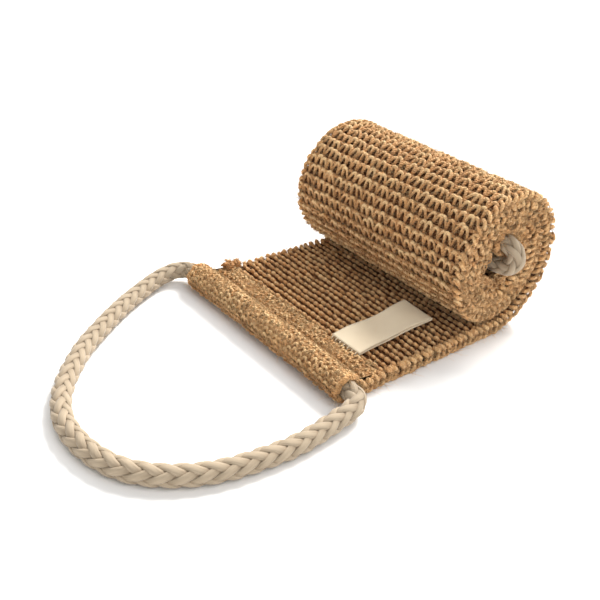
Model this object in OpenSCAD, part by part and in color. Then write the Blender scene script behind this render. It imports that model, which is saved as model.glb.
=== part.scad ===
// Back scrubber: a knitted jute band, rolled up from one end, with a cotton rope handle
// run through a sewn hem at each end and a folded tape label sewn on the flat part.
// X runs along the flat part towards the roll, Y across the band, Z up from the table.
// The origin is on the table, under the middle of the flat part.

/* [Band] */
// Width across the band
band_w = 100; // [70:1:140]
// Thickness of the knitted fabric
band_t = 6.5; // [5:0.1:6.6]
// Length lying flat, from the front edge of the hem to where the roll starts
flat_len = 90; // [80:1:120]

/* [Roll] */
// Radius of the first arc of the roll, at the middle of the fabric
first_r = 30.3; // [30.3:0.1:34]
// How much smaller each arc of the roll is than the one before
r_step = 0.875; // [0.875:0.005:0.9]
// How far the rolled turns wander sideways from the flat part
roll_drift = 2.5; // [0:0.1:4]

/* [Hems] */
// Length of the folded and sewn end of the band
hem_len = 22; // [20:1:26]
// Outer diameter of the channel that the rope runs through
hem_d = 12.4; // [12:0.1:12.6]
// Play of the rope in its channel, all round
channel_play = 0.05; // [0.02:0.01:0.1]

/* [Rope handles] */
// Diameter of the braided rope
rope_d = 7.6; // [7.2:0.1:7.8]
// Length of the thread whipping that joins the rope's two ends inside the hem
whipping_len = 16; // [10:1:30]
// Thickness of the whipping
whipping_t = 0.5; // [0.4:0.1:0.8]

/* [Label] */
// Length of the label from its sewn end to its fold
label_len = 41; // [30:1:42]
// Width of the label
label_w = 16; // [10:1:20]
// Thickness of one layer of the tape
label_t = 0.5; // [0.4:0.1:0.7]
// How high the folded end of the label stands off the band
label_lift = 3; // [1:0.5:4]

/* [Stitches] */
// Length of one hem stitch
stitch_len = 4.4; // [3:0.1:5]
// Distance from one hem stitch to the next
stitch_pitch = 6.6; // [5.5:0.1:8]

/* [Hidden] */
$fn = 48;
// Each arc of the roll turns the band by this much, so eight make one turn.
arc_turn = 45;
half_turn = arc_turn / 2;
arc_count = 20;
arc_steps = 4;
function section_name(i) = str("band_section_", i < 10 ? "0" : "", i);

jute = [0.62, 0.44, 0.26];
jute_dark = [0.48, 0.32, 0.18];
cotton = [0.88, 0.82, 0.68];
tape = [0.93, 0.9, 0.8];

// A bend opened flat keeps its length when its pivot is this much further out than its radius.
pivot_factor = (half_turn * PI / 180) / sin(half_turn);
// Free space between the ends of two neighbouring sections, and how far a bevel is undercut.
end_gap = 0.3;
bevel_angle = half_turn + 2;
drift_arcs = 4;

hem_edge_x = -flat_len / 2;
roll_x = flat_len / 2;
hem_x = hem_edge_x + hem_d / 2;
seam_x = hem_edge_x + hem_len;
rope_r = rope_d / 2;
bore_r = rope_r + channel_play;
rope_exit = band_w / 2 + 2;
rope_sides = 10;
// The label's edge nearer the middle of the band.
label_y = -21;

// The front handle's route, from the far end of its channel round to the near end. Its points
// are [in front of the channel, across the band, above the table].
front_route = [
    [0, 52, 6.2], [1, 56, 6.1], [4.5, 59, 5.6], [10, 59.5, 5], [18, 57.5, 4.3],
    [27, 53.5, 3.8], [37, 48, 3.8], [47, 41.5, 3.8], [56, 35, 3.8], [65, 28, 3.8],
    [73, 20, 3.8], [80, 12, 3.8], [86, 3, 3.8], [90, -7, 3.8], [91, -18, 3.8],
    [89.5, -29, 3.8], [85.5, -39, 3.8], [78, -47.5, 3.8], [68, -54, 3.8],
    [57, -58, 3.8], [45, -60, 3.8], [33, -61, 3.8], [22, -60.5, 4.3], [12, -59.5, 5],
    [4.5, -58.5, 5.6], [1, -56, 6.1], [0, -52, 6.2]
];

// The back handle's route in the core of the roll, from the near end of its channel round to
// the far end. Its points are [along the band, across it, off its inner face] from the channel.
back_route = [
    [0, -52, 0], [0, -54.5, 1.5], [0, -56.5, 5.3], [0, -54.5, 9.2], [0, -51, 10.7],
    [0, -30, 10.7], [0, -10, 10.7], [0, 6, 10.7],
    [-1, 9, 12], [-2, 10.2, 14.2], [-3, 9, 16.5], [-4.1, 6, 17.8],
    [-4.1, -8, 17.8], [-4.1, -22, 17.8],
    [-3, -25, 17.8], [0, -26.2, 17.8], [3, -25, 17.8], [4.1, -22, 17.8],
    [4.1, 0, 17.8], [4.1, 20, 17.8], [4.1, 40, 17.8], [4.1, 52, 17.8],
    [3.7, 57, 16.2], [2.6, 60, 12], [1.4, 60.5, 7], [0.4, 57.5, 2], [0, 52, 0]
];
// The rope in the core lies turned by this much about its channel, away from the band's end.
core_lean = 5;
// The back channel sits this much further in than the front one, clear of the turn outside it.
core_inset = 0.4;

function arc_r(i) = first_r - r_step * (i - 1);
function arc_start(i) = (i - 1) * arc_turn;
// The direction from the band towards the centre of its curve, where it points at angle a.
function inward(a) = [-sin(a), cos(a)];
function arc_centre(i) =
    i == 1 ? [roll_x, band_t / 2 + first_r]
           : arc_centre(i - 1) - r_step * inward(arc_start(i));
function on_arc(i, a, r) = arc_centre(i) - r * inward(a);
function pivot_r(i) = arc_r(i) * pivot_factor;
function degrees_along(w, r) = w / r * 180 / PI;
function drift(i) = roll_drift * min(i, drift_arcs) / drift_arcs;

// The end of a section at the middle of arc i, from the inner face out to the outer face.
// side is 1 where the section starts there and -1 where it ends there.
function cut_angle(i, r, w, side) = arc_start(i) + half_turn + side * degrees_along(w, r);
function cut_end(i, side) =
    let (inner = arc_r(i) - band_t / 2,
         outer = arc_r(i) + band_t / 2,
         pivot = pivot_r(i),
         bevel = end_gap / 2 + (outer - pivot) * tan(bevel_angle))
    [
        on_arc(i, cut_angle(i, inner, end_gap / 2, side), inner),
        on_arc(i, cut_angle(i, pivot, end_gap / 2, side), pivot),
        on_arc(i, cut_angle(i, outer, bevel, side), outer)
    ];

// Points along one face of half an arc, at distance off from the middle of the fabric.
function first_half(i, off) =
    [for (k = [0 : arc_steps - 1]) on_arc(i, arc_start(i) + half_turn * k / arc_steps, arc_r(i) + off)];
function second_half(i, off) =
    [for (k = [1 : arc_steps])
        on_arc(i, arc_start(i) + half_turn * (1 + k / arc_steps), arc_r(i) + off)];
function reversed(v) = [for (k = [len(v) - 1 : -1 : 0]) v[k]];

function flat_outline() = concat(
    [[seam_x, band_t], [seam_x, 0]],
    first_half(1, band_t / 2),
    reversed(cut_end(1, -1)),
    reversed(first_half(1, -band_t / 2))
);
function section_outline(i) = concat(
    cut_end(i, 1),
    second_half(i, band_t / 2),
    first_half(i + 1, band_t / 2),
    reversed(cut_end(i + 1, -1)),
    reversed(first_half(i + 1, -band_t / 2)),
    reversed(second_half(i, -band_t / 2))
);
function last_outline() = concat(
    cut_end(arc_count, 1),
    second_half(arc_count, band_t / 2),
    reversed(second_half(arc_count, -band_t / 2))
);

// A slab of fabric of the band's width, from its outline in the X-Z plane.
module slab(outline, shift) {
    translate([0, band_w / 2 + shift, 0])
        rotate([90, 0, 0])
            linear_extrude(height = band_w)
                polygon(outline);
}

// Sits its children where the band ends in the core: their X runs on along the band, and
// their Z points into the core from the middle of the fabric.
module at_band_end() {
    end_angle = arc_count * arc_turn;
    p = on_arc(arc_count, end_angle, arc_r(arc_count));
    translate([p[0], drift(arc_count), p[1]])
        rotate([0, -end_angle, 0])
            children();
}

// A cylinder of length l along Y, centred on the origin.
module across(r, l) {
    rotate([90, 0, 0])
        cylinder(r = r, h = l, center = true);
}

// The folded end of the band: a channel for the rope, centred on the origin, and the doubled
// fabric behind it, web_len long and drop below the channel's middle on its underside.
module hem(web_len, drop) {
    difference() {
        union() {
            across(hem_d / 2, band_w);
            translate([0, -band_w / 2, -drop])
                cube([web_len, band_w, band_t]);
        }
        across(bore_r, band_w + 2);
    }
}

// The two ends of a rope inside its channel, necked down where they are whipped together.
module rope_ends() {
    difference() {
        across(rope_r, 2 * rope_exit);
        difference() {
            across(rope_r + 1, whipping_len);
            across(rope_r - whipping_t, whipping_len + 2);
        }
        cube([rope_d + 1, 0.4, rope_d + 1], center = true);
    }
}

module whipping() {
    difference() {
        across(rope_r, whipping_len);
        across(rope_r - whipping_t, whipping_len + 2);
    }
}

// A row of stitches across the band, lying on the plane Z = 0.
module stitch_row() {
    count = floor((band_w - stitch_len - 4) / stitch_pitch);
    for (k = [-count / 2 : count / 2])
        translate([-0.6, k * stitch_pitch - stitch_len / 2, 0])
            cube([1.2, stitch_len, 0.8]);
}

function unit(v) = v / norm(v);
// A route starts and ends along Y, and its rings in between face halfway round each corner.
function heading(p, k) =
    k == 0 ? [0, sign(p[1][1] - p[0][1]), 0]
  : k == len(p) - 1 ? [0, sign(p[k][1] - p[k - 1][1]), 0]
  : unit(unit(p[k + 1] - p[k]) + unit(p[k] - p[k - 1]));
// The side direction of each ring is carried along the route, so the tube never twists.
function sides(p, k, last) =
    let (t = heading(p, k), s = unit(last - (last * t) * t))
    k == len(p) - 1 ? [s] : concat([s], sides(p, k + 1, s));
function ring(c, t, s, r) =
    let (u = cross(t, s))
    [for (k = [0 : rope_sides - 1])
        c + r * (cos(360 * k / rope_sides) * s + sin(360 * k / rope_sides) * u)];

// A round tube through the points of a route.
module rope_tube(route) {
    side = sides(route, 0, [1, 0, 0]);
    n = rope_sides;
    m = len(route);
    points = [for (k = [0 : m - 1]) each ring(route[k], heading(route, k), side[k], rope_r)];
    walls = [for (k = [0 : m - 2]) for (j = [0 : n - 1]) each [
        [k * n + j, k * n + (j + 1) % n, (k + 1) * n + j],
        [k * n + (j + 1) % n, (k + 1) * n + (j + 1) % n, (k + 1) * n + j]
    ]];
    start_cap = [for (j = [n - 1 : -1 : 0]) j];
    end_cap = [for (j = [0 : n - 1]) (m - 1) * n + j];
    polyhedron(points = points, faces = [for (f = concat(walls, [start_cap, end_cap])) reversed(f)]);
}

// The height of the label's underside above the table, a distance x from its sewn end.
function label_rise(x) = band_t + 0.35 + label_lift * pow(x / label_len, 1.5);

module hem_front() {
    color(jute)
        translate([hem_x, 0, hem_d / 2])
            hem(seam_x - hem_x, hem_d / 2);
}

module hem_front_stitches() {
    color(jute_dark)
        translate([hem_edge_x + hem_len * 0.66, 0, band_t])
            stitch_row();
}

module band_flat() {
    color(jute)
        slab(flat_outline(), 0);
}

module band_section(i) {
    color(i % 2 == 0 ? jute : jute_dark)
        if (i < arc_count) {
            slab(section_outline(i), drift(i));
        } else {
            difference() {
                slab(last_outline(), drift(i));
                at_back_channel()
                    across(hem_d / 2, band_w + 2);
            }
        }
}

module edge_knot() {
    color(jute_dark)
        translate([seam_x - 1, band_w / 2 - 3, band_t]) {
            translate([0, 0, 2.4])
                sphere(r = 2.4);
            translate([4.4, 0.5, 2])
                sphere(r = 2);
        }
}

// The tape goes out to its fold and comes back on top of itself.
module label() {
    steps = 8;
    gap = 0.3;
    thick = 2 * label_t + gap;
    xs = [for (k = [0 : steps]) label_len * k / steps];
    under = [for (x = xs) [x, label_rise(x)]];
    over = [for (x = reversed(xs)) [x, label_rise(x) + thick]];
    slit_under = [for (x = xs) if (x < label_len) [x, label_rise(x) + label_t]];
    slit_over = [for (x = reversed(xs)) if (x < label_len) [x, label_rise(x) + label_t + gap]];
    color(tape)
        translate([seam_x + 1.5, label_y, 0])
            rotate([90, 0, 0])
                linear_extrude(height = label_w)
                    difference() {
                        polygon(concat(under, over));
                        polygon(concat(slit_under, slit_over));
                    }
}

module label_stitches() {
    color(tape)
        for (k = [1 : 3])
            translate([seam_x - 0.6, label_y - label_w * k / 4 - 1.2, band_t])
                cube([1, 2.4, 0.7]);
}

module handle_rope_front() {
    color(cotton)
        rope_tube([for (p = front_route) [hem_x - p[0], p[1], p[2]]]);
}

module rope_ends_front() {
    color(cotton)
        translate([hem_x, 0, hem_d / 2])
            rope_ends();
}

module rope_whipping_front() {
    color(tape)
        translate([hem_x, 0, hem_d / 2])
            whipping();
}

// The middle of the back channel, seen from where the band ends.
module at_back_channel() {
    at_band_end()
        translate([3, 0, hem_d / 2 - band_t / 2 + core_inset])
            children();
}

module hem_back() {
    color(jute)
        at_back_channel()
            rotate([0, 0, 180])
                hem(3, hem_d / 2 + core_inset);
}

module hem_back_stitches() {
    stitch_angle = arc_start(arc_count);
    p = on_arc(arc_count, stitch_angle, arc_r(arc_count) - band_t / 2 - 0.03);
    color(jute_dark)
        translate([p[0], drift(arc_count), p[1]])
            rotate([0, -stitch_angle, 0])
                stitch_row();
}

module handle_rope_back() {
    color(cotton)
        at_back_channel()
            rotate([0, -core_lean, 0])
                rope_tube(back_route);
}

module rope_ends_back() {
    color(cotton)
        at_back_channel()
            rope_ends();
}

module rope_whipping_back() {
    color(tape)
        at_back_channel()
            whipping();
}

hem_front();
hem_front_stitches();
band_flat();
edge_knot();
label();
label_stitches();
handle_rope_front();
rope_ends_front();
rope_whipping_front();
for (i = [1 : arc_count])
    band_section(i);
hem_back();
hem_back_stitches();
handle_rope_back();
rope_ends_back();
rope_whipping_back();
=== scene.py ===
import math
import bpy
import numpy as np
from mathutils import Matrix, Vector


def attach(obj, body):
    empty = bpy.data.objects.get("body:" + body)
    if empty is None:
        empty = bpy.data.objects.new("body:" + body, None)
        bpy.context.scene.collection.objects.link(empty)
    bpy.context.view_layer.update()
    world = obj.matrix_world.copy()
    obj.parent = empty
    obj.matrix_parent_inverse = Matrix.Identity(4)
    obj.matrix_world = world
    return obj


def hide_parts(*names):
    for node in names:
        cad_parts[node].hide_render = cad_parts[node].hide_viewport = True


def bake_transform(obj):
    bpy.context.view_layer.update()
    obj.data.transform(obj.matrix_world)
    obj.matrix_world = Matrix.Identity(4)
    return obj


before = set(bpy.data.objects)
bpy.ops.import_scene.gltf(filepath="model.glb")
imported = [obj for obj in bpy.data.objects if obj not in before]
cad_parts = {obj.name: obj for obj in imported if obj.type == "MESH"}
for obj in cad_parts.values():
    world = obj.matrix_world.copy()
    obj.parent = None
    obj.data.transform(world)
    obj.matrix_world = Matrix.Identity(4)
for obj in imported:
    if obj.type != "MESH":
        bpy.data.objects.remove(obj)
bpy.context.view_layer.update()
random = np.random.default_rng(11)

# Lengths are in millimetres here, and turned into metres where a mesh is made.
MM = 0.001
TURN = 2 * math.pi

# ---------------------------------------------------------------- the band's own shape
# The band is described by u along it, v across it and w off the middle of the fabric,
# where positive w is the top of the flat part and the inside of the roll.
HALF_W = 50.0
HALF_T = 3.25
# Where the front hem ends, and where the flat part starts to roll up.
SEAM_X = -23.0
ROLL_X = 45.0
# The roll is 20 arcs of 45 degrees. Each is a little tighter than the one outside it.
FIRST_R = 30.3
R_STEP = 0.875
ARC_TURN = math.radians(45)
ARC_COUNT = 20
# The roll creeps this far sideways over its first arcs.
DRIFT = 2.5
DRIFT_ARCS = 4
# Yarn whose middle is lower than this would reach into the table.
TABLE_GAP = 0.3


def arc_r(i):
    return FIRST_R - R_STEP * (i - 1)


def inward(angle):
    return np.array([-math.sin(angle), math.cos(angle)])


ARC_CENTRES = [np.array([ROLL_X, HALF_T + FIRST_R])]
for arc in range(2, ARC_COUNT + 1):
    ARC_CENTRES.append(ARC_CENTRES[-1] - R_STEP * inward((arc - 1) * ARC_TURN))
ARC_ENDS = [ROLL_X]
for arc in range(1, ARC_COUNT + 1):
    ARC_ENDS.append(ARC_ENDS[-1] + arc_r(arc) * ARC_TURN)
BAND_END = ARC_ENDS[-1]


def on_band(u, v, w):
    """The places in space of points given along, across and off the band."""
    u, v, w = np.broadcast_arrays(u, v, w)
    out = np.empty(u.shape + (3,))
    out[..., 0], out[..., 1], out[..., 2] = u, v, HALF_T + w
    for i in range(1, ARC_COUNT + 1):
        last = i == ARC_COUNT
        inside = (u >= ARC_ENDS[i - 1]) & ((u < ARC_ENDS[i]) | last)
        part = (u[inside] - ARC_ENDS[i - 1]) / (ARC_ENDS[i] - ARC_ENDS[i - 1])
        angle = (i - 1 + part) * ARC_TURN
        reach = arc_r(i) - w[inside]
        out[inside, 0] = ARC_CENTRES[i - 1][0] + np.sin(angle) * reach
        out[inside, 1] = v[inside] + DRIFT * np.minimum(i - 1 + part, DRIFT_ARCS) / DRIFT_ARCS
        out[inside, 2] = ARC_CENTRES[i - 1][1] - np.cos(angle) * reach
    return out


# ---------------------------------------------------------------- mesh building
# In the baking layout each tube has its own cell, with its wall at the left of WALL_X
# and its two caps between CAP_X and CAP_END_X. CELL_GAP is in strips of the wall.
WALL_X = 0.92
CAP_X = 0.94
CAP_END_X = 0.99
CELL_GAP = 0.08
# How deep the yarns of a strand show in its outline.
LOBE_DEPTH = 0.07


def unit(a):
    """The same directions with length one."""
    return a / np.maximum(np.linalg.norm(a, axis=-1, keepdims=True), 1e-9)


def bake_layout(m, n, sides, columns):
    """The baking layout of m tubes with n rings: the walls' corners, then the caps'."""
    rows = math.ceil(m / columns)
    cell_x = np.arange(m) % columns
    cell_y = np.arange(m) // columns
    k = np.arange(n - 1)
    s = np.arange(sides)
    x0 = (WALL_X * k / (n - 1))[:, None]
    x1 = (WALL_X * (k + 1) / (n - 1))[:, None]
    y0 = (s + CELL_GAP) / (sides + 0.2)
    y1 = (s + 1 + CELL_GAP) / (sides + 0.2)
    corner_x = np.broadcast_to(np.stack([x0, x0, x1, x1], -1), (n - 1, sides, 4))
    corner_y = np.broadcast_to(np.stack([y0, y1, y1, y0], -1), (n - 1, sides, 4))
    wall = np.empty((m, n - 1, sides, 4, 2))
    wall[..., 0] = (cell_x[:, None, None, None] + corner_x) / columns
    wall[..., 1] = (cell_y[:, None, None, None] + corner_y) / rows
    cap_u = np.array([[CAP_X, CAP_X, CAP_END_X]] * sides)
    cap_v = np.stack([y0, y1, (y0 + y1) / 2], -1)
    caps = np.empty((m, 2, sides, 3, 2))
    for end in (0, 1):
        low = y0[0] + (y1[-1] - y0[0]) * end / 2
        caps[:, end, :, :, 0] = (cell_x[:, None, None] + cap_u) / columns
        caps[:, end, :, :, 1] = (cell_y[:, None, None] + low + (cap_v - y0[0]) / 2) / rows
    return wall.reshape(-1, 2), caps.reshape(-1, 2), rows * sides


def yarn_layout(paths, sides):
    """The yarn's own layout: millimetres along it, and turns round it."""
    m, n, _ = paths.shape
    steps = np.linalg.norm(np.diff(paths, axis=1), axis=-1)
    length = np.concatenate([np.zeros((m, 1)), np.cumsum(steps, 1)], 1)
    length = length + random.uniform(0, 50, (m, 1))
    before, behind = length[:, :-1], length[:, 1:]
    s = np.arange(sides)
    wall = np.empty((m, n - 1, sides, 4, 2))
    wall[..., 0] = np.stack([before, before, behind, behind], -1)[:, :, None]
    wall[..., 1] = np.stack([s, s + 1, s + 1, s], -1) / sides
    caps = np.zeros((m, 2, sides, 3, 2))
    caps[..., 0] = length[:, [0, -1]][:, :, None, None]
    return wall.reshape(-1, 2), caps.reshape(-1, 2)


def tubes(paths, up, half_wide, half_thick, sides=6, columns=1, tone=0.6, tint=0.5, lobes=0):
    """Closed tubes along paths (tube, ring, xyz). up is the way each tube's thickness points."""
    paths = np.asarray(paths, float)
    m, n, _ = paths.shape
    along = unit(np.gradient(paths, axis=1))
    across = unit(np.cross(along, np.broadcast_to(up, paths.shape)))
    up = np.cross(across, along)
    turn = np.arange(sides) * TURN / sides
    ripple = 1 + (LOBE_DEPTH * np.cos(lobes * turn) if lobes else 0 * turn)
    wide = np.broadcast_to(half_wide, (m, n))[..., None, None]
    thick = np.broadcast_to(half_thick, (m, n))[..., None, None]
    ring = (np.cos(turn) * ripple)[:, None] * across[:, :, None] * wide
    ring = ring + (np.sin(turn) * ripple)[:, None] * up[:, :, None] * thick
    rings = (paths[:, :, None] + ring).reshape(-1, 3)
    caps = paths[:, [0, -1]].reshape(-1, 3)
    index = np.arange(m * n * sides).reshape(m, n, sides)
    after = np.roll(index, -1, axis=2)
    quads = np.stack([index[:, :-1], after[:, :-1], after[:, 1:], index[:, 1:]], -1)
    middle = m * n * sides + np.arange(2 * m).reshape(m, 2, 1)
    middle = np.broadcast_to(middle, (m, 2, sides))
    first = np.stack([after[:, 0], index[:, 0], middle[:, 0]], -1)
    last = np.stack([index[:, -1], after[:, -1], middle[:, 1]], -1)

    def per_point(value):
        value = np.broadcast_to(value, (m, n))
        return np.concatenate([np.repeat(value.reshape(-1), sides), value[:, [0, -1]].reshape(-1)])

    wall_uv, cap_uv, weight = bake_layout(m, n, sides, columns)
    wall_yarn, cap_yarn = yarn_layout(paths, sides)
    return {
        "points": np.concatenate([rings, caps]), "quads": quads.reshape(-1, 4),
        "tris": np.concatenate([first, last], 1).reshape(-1, 3),
        "wall_uv": wall_uv, "cap_uv": cap_uv, "wall_yarn": wall_yarn, "cap_yarn": cap_yarn,
        "tone": per_point(tone), "tint": per_point(tint), "weight": weight,
    }


def above_table(points):
    """What would reach into the table is pressed flat on it."""
    low = points[:, 2] < TABLE_GAP
    softness = 0.6
    points[low, 2] = TABLE_GAP * np.exp((points[low, 2] - TABLE_GAP) / softness)
    return points


def add_object(name, mesh, material, smooth=True):
    mesh.polygons.foreach_set("use_smooth", np.full(len(mesh.polygons), smooth))
    mesh.materials.append(material)
    obj = bpy.data.objects.new(name, mesh)
    bpy.context.scene.collection.objects.link(obj)
    return obj


def join_tubes(name, groups, material):
    """One mesh object of several groups of tubes, each with its own band of the baking layout."""
    def all_of(key):
        return np.concatenate([g[key] for g in groups])

    total = sum(g["weight"] for g in groups)
    quads, tris, wall_uv, cap_uv = [], [], [], []
    base, floor = 0, 0.0
    for g in groups:
        share = g["weight"] / total
        quads.append(g["quads"] + base)
        tris.append(g["tris"] + base)
        wall_uv.append(g["wall_uv"] * [1, share] + [0, floor])
        cap_uv.append(g["cap_uv"] * [1, share] + [0, floor])
        base += len(g["points"])
        floor += share
    quads, tris = np.concatenate(quads), np.concatenate(tris)
    mesh = bpy.data.meshes.new(name)
    points = above_table(all_of("points")) * MM
    mesh.vertices.add(len(points))
    mesh.vertices.foreach_set("co", points.astype(np.float32).ravel())
    corners = np.concatenate([quads.ravel(), tris.ravel()])
    mesh.loops.add(len(corners))
    mesh.loops.foreach_set("vertex_index", corners.astype(np.int32))
    tri_starts = len(quads) * 4 + np.arange(len(tris)) * 3
    starts = np.concatenate([np.arange(len(quads)) * 4, tri_starts])
    mesh.polygons.add(len(starts))
    mesh.polygons.foreach_set("loop_start", starts.astype(np.int32))
    mesh.update(calc_edges=True)
    yarn = np.concatenate([all_of("wall_yarn"), all_of("cap_yarn")])
    for layer, data in (("OFBake", np.concatenate(wall_uv + cap_uv)), ("Yarn", yarn)):
        uv = mesh.uv_layers.new(name=layer)
        uv.data.foreach_set("uv", data.astype(np.float32).ravel())
    for key in ("tone", "tint"):
        attribute = mesh.attributes.new(key, "FLOAT", "POINT")
        attribute.data.foreach_set("value", all_of(key).astype(np.float32))
    return add_object(name, mesh, material)


def two_sided(layers):
    """The points and faces of a closed sheet, from the grids of its two sides."""
    points = np.concatenate([layer.reshape(-1, 3) for layer in layers])
    n, m = layers[0].shape[:2]
    at = np.arange(2 * n * m).reshape(2, n, m)
    a, b = at
    faces = []
    for i in range(n - 1):
        for k in range(m - 1):
            faces.append((a[i, k], a[i, k + 1], a[i + 1, k + 1], a[i + 1, k]))
            faces.append((b[i, k], b[i + 1, k], b[i + 1, k + 1], b[i, k + 1]))
        faces.append((a[i, 0], a[i + 1, 0], b[i + 1, 0], b[i, 0]))
        faces.append((a[i, -1], b[i, -1], b[i + 1, -1], a[i + 1, -1]))
    for k in range(m - 1):
        faces.append((a[0, k], b[0, k], b[0, k + 1], a[0, k + 1]))
        faces.append((a[-1, k], a[-1, k + 1], b[-1, k + 1], b[-1, k]))
    return points, faces


def plain_mesh(name, points, faces, material, slot, smooth=True):
    mesh = bpy.data.meshes.new(name)
    mesh.from_pydata([tuple(p) for p in np.asarray(points) * MM], [], [tuple(f) for f in faces])
    mesh.update()
    return add_object(name, mesh, material, smooth)


# ---------------------------------------------------------------- materials
def new_material(name, roughness, specular):
    material = bpy.data.materials.new(name)
    material.use_nodes = True
    tree = material.node_tree
    shader = tree.nodes["Principled BSDF"]
    shader.inputs["Roughness"].default_value = roughness
    shader.inputs["Specular IOR Level"].default_value = specular
    return material, tree, shader


def set_sheen(shader, weight, roughness=0.5, tint=(1.0, 1.0, 1.0)):
    shader.inputs["Sheen Weight"].default_value = weight
    shader.inputs["Sheen Roughness"].default_value = roughness
    shader.inputs["Sheen Tint"].default_value = (*tint, 1)


def node(tree, kind, vector=None, **values):
    made = tree.nodes.new(kind)
    for key, value in values.items():
        if key in made.inputs:
            made.inputs[key].default_value = value
        else:
            setattr(made, key, value)
    if vector is not None:
        tree.links.new(vector, made.inputs["Vector"])
    return made


def calculate(tree, operation, *terms):
    """One step of arithmetic on numbers and on other nodes' outputs."""
    made = node(tree, "ShaderNodeMath", operation=operation)
    for socket, term in zip(made.inputs, terms):
        if isinstance(term, float):
            socket.default_value = term
        else:
            tree.links.new(term, socket)
    return made.outputs[0]


def noise(tree, vector, scale, detail, roughness=0.5):
    made = node(tree, "ShaderNodeTexNoise", vector, Scale=scale, Detail=detail,
                Roughness=roughness)
    return made.outputs["Fac"]


def scaled(tree, vector, scale):
    return node(tree, "ShaderNodeMapping", vector, Scale=scale).outputs["Vector"]


def attribute(tree, name):
    return node(tree, "ShaderNodeAttribute", attribute_name=name).outputs["Fac"]


def object_place(tree):
    return node(tree, "ShaderNodeTexCoord").outputs["Object"]


def yarn_place(tree):
    return node(tree, "ShaderNodeUVMap", uv_map="Yarn").outputs["UV"]


def ramp(tree, factor, stops):
    made = tree.nodes.new("ShaderNodeValToRGB")
    elements = made.color_ramp.elements
    elements[0].position, elements[0].color = stops[0][0], (*stops[0][1], 1)
    elements[1].position, elements[1].color = stops[-1][0], (*stops[-1][1], 1)
    for position, colour in stops[1:-1]:
        elements.new(position).color = (*colour, 1)
    tree.links.new(factor, made.inputs["Fac"])
    return made.outputs["Color"]


def set_relief(tree, shader, height, strength, depth):
    """Relief from height, where depth is in metres."""
    bump = node(tree, "ShaderNodeBump", Strength=strength, Distance=depth)
    tree.links.new(height, bump.inputs["Height"])
    tree.links.new(bump.outputs["Normal"], shader.inputs["Normal"])


def jute_material(name, dark, mid, light, straw):
    """Twisted jute: its tone goes from dark in the holes to light on the loops, and the dark in
    the holes is painted shade.
    """
    material, tree, shader = new_material(name, roughness=0.85, specular=0.2)
    link = tree.links.new
    yarn, place = yarn_place(tree), object_place(tree)
    strands = noise(tree, scaled(tree, yarn, (0.55, 9.0, 1.0)), 1.3, 4.0, 0.65)
    patches = noise(tree, place, 70.0, 3.0)
    fluff = noise(tree, place, 2600.0, 3.0, 0.7)
    # The mesh's tone, which holds painted shade deep in the knit, moved up and down by the strands
    # and the patches.
    tone = calculate(tree, "MULTIPLY_ADD", strands, 0.9, attribute(tree, "tone"))
    tone = calculate(tree, "MULTIPLY_ADD", patches, 0.35, tone)
    tone = calculate(tree, "SUBTRACT", tone, 0.52)
    colours = ramp(tree, tone, [(0.0, dark), (0.5, mid), (1.0, light)])
    pale = node(tree, "ShaderNodeMix", data_type="RGBA", blend_type="MULTIPLY")
    pale.inputs["Factor"].default_value = 1.0
    pale.inputs["B"].default_value = (*straw, 1)
    link(colours, pale.inputs["A"])
    mix = node(tree, "ShaderNodeMix", data_type="RGBA")
    link(attribute(tree, "tint"), mix.inputs["Factor"])
    link(colours, mix.inputs["A"])
    link(pale.outputs["Result"], mix.inputs["B"])
    link(mix.outputs["Result"], shader.inputs["Base Color"])
    # The yarn's twist and its loose fibres as relief.
    twist = node(tree, "ShaderNodeTexWave", scaled(tree, yarn, (1.0, 2.0, 1.0)), wave_type="BANDS",
                 bands_direction="DIAGONAL", Scale=0.55, Distortion=1.5, Detail=2.0)
    twist.inputs["Detail Scale"].default_value = 2.0
    relief = calculate(tree, "ADD", twist.outputs["Fac"], strands)
    relief = calculate(tree, "ADD", relief, fluff)
    set_relief(tree, shader, relief, 0.9, 0.0005)
    set_sheen(shader, 0.25, tint=(0.95, 0.8, 0.6))
    return material


def cotton_material(name, dark, light, lines, depth, scale):
    """Natural cotton: fine yarns along each strand, a little uneven in colour."""
    material, tree, shader = new_material(name, roughness=0.8, specular=0.25)
    strands = noise(tree, scaled(tree, yarn_place(tree), (scale, lines, 1.0)), 1.0, 3.0, 0.6)
    patches = noise(tree, object_place(tree), 120.0, 2.0)
    tone = calculate(tree, "MULTIPLY_ADD", strands, 0.5, attribute(tree, "tone"))
    tone = calculate(tree, "MULTIPLY_ADD", patches, 0.25, tone)
    tone = calculate(tree, "SUBTRACT", tone, 0.37)
    colours = ramp(tree, tone, [(0.0, dark), (1.0, light)])
    tree.links.new(colours, shader.inputs["Base Color"])
    set_relief(tree, shader, strands, 0.6, depth)
    set_sheen(shader, 0.15, 0.4)
    return material


def core_material(name, dark, light):
    """The inside of the knit, seen only through its holes."""
    material, tree, shader = new_material(name, roughness=0.95, specular=0.1)
    grain = noise(tree, object_place(tree), 900.0, 4.0)
    colours = ramp(tree, grain, [(0.3, dark), (0.75, light)])
    tree.links.new(colours, shader.inputs["Base Color"])
    set_relief(tree, shader, grain, 1.0, 0.0006)
    return material


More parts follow.
